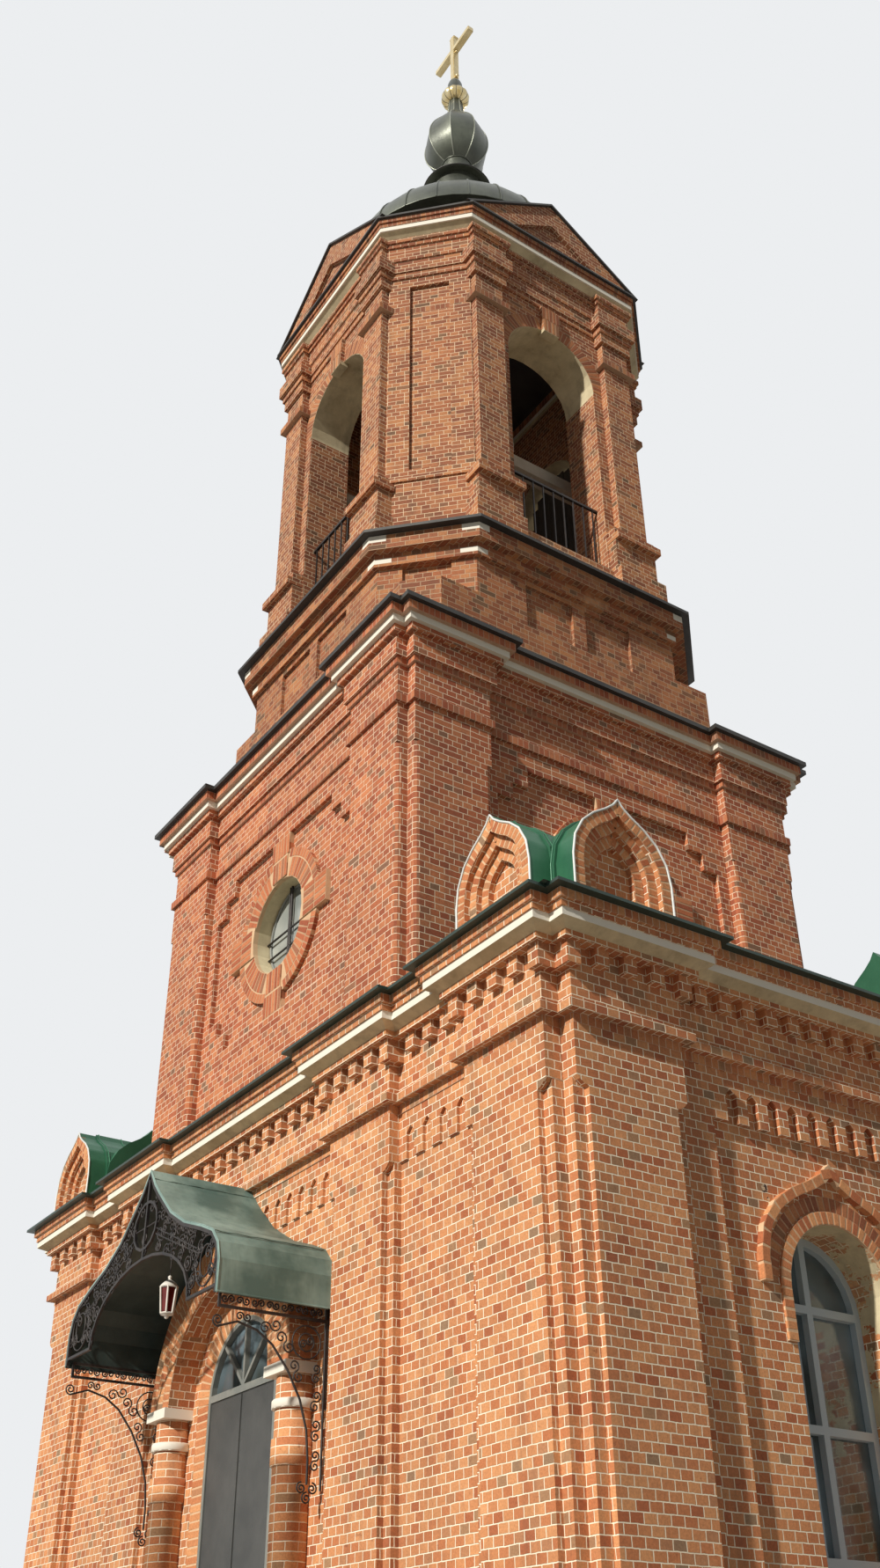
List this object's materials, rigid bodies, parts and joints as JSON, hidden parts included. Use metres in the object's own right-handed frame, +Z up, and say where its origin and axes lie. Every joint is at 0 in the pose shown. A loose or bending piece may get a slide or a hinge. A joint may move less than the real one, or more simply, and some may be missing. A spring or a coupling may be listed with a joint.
{
  "type": "brick church bell tower with entrance hall",
  "caption": "Brick church bell tower over an entrance hall, with cornices, white stone bands, arched belfry, metal dome, onion finial and cross, and a pair of hinged doors.",
  "frame": {"origin": "on the tower's vertical axis at ground level", "axes": "+Z up, -Y out of the entrance front, +X to the right of someone facing that front"},
  "size_m": [11.938, 8.238, 32.668],
  "materials": {
    "red_brick": "matte",
    "white_stone": "matte",
    "plinth_stone": "matte",
    "cream_plaster": "matte",
    "green_metal": "satin",
    "dark_metal": "satin",
    "canopy_metal": "matte",
    "dome_metal": "satin",
    "gilt_metal": "polished",
    "bell_bronze": "aged",
    "dark_iron": "matte",
    "door_wood": "painted",
    "blue_grey_paint": "painted",
    "window_pane": "clear",
    "lantern_glass": "coloured"
  },
  "bodies": {
    "building": {"back_wall": "red_brick", "belfry_arches": "red_brick", "belfry_cornice": "red_brick", "belfry_floor": "cream_plaster", "belfry_gables": "red_brick", "belfry_piers": "red_brick", "belfry_railings": "dark_iron", "belfry_roof": "dark_metal", "bells_on_beam": "bell_bronze", "canopy_ironwork": "canopy_metal", "canopy_lantern": "lantern_glass", "canopy_roof": "canopy_metal", "cross": "gilt_metal", "dome": "dome_metal", "door_frame": "door_wood", "drum_cornice": "red_brick", "drum_walls": "red_brick", "entrance_cornice": "red_brick", "entrance_roof": "green_metal", "front_wall_left": "red_brick", "front_wall_right": "red_brick", "hall_floor": "plinth_stone", "hall_vault": "cream_plaster", "kokoshnik_gables": "red_brick", "left_wall": "red_brick", "onion_dome": "dome_metal", "plinth_and_steps": "plinth_stone", "portal_brickwork": "red_brick", "portal_stones": "white_stone", "right_wall": "red_brick", "tower_ceiling": "cream_plaster", "tower_cornice": "red_brick", "tower_roof": "dark_metal", "tower_wall_back": "red_brick", "tower_wall_front": "red_brick", "tower_wall_left": "red_brick", "tower_wall_right": "red_brick", "wall_over_door": "red_brick", "white_stone_bands": "white_stone", "window_frames": "blue_grey_paint", "window_glass": "window_pane", "window_surrounds": "red_brick"},
    "left_door": {"door_leaf_left": "door_wood"},
    "right_door": {"door_leaf_right": "door_wood"}
  },
  "joints": [
    {"name": "left_door_hinge", "type": "hinge", "parent": "building", "child": "left_door", "pos_m": [-0.691, -2.915, 2.77], "axis": [0, 0, 1], "range_deg": [0, 90]},
    {"name": "right_door_hinge", "type": "hinge", "parent": "building", "child": "right_door", "pos_m": [0.691, -2.915, 2.77], "axis": [0, 0, -1], "range_deg": [0, 90]}
  ]
}
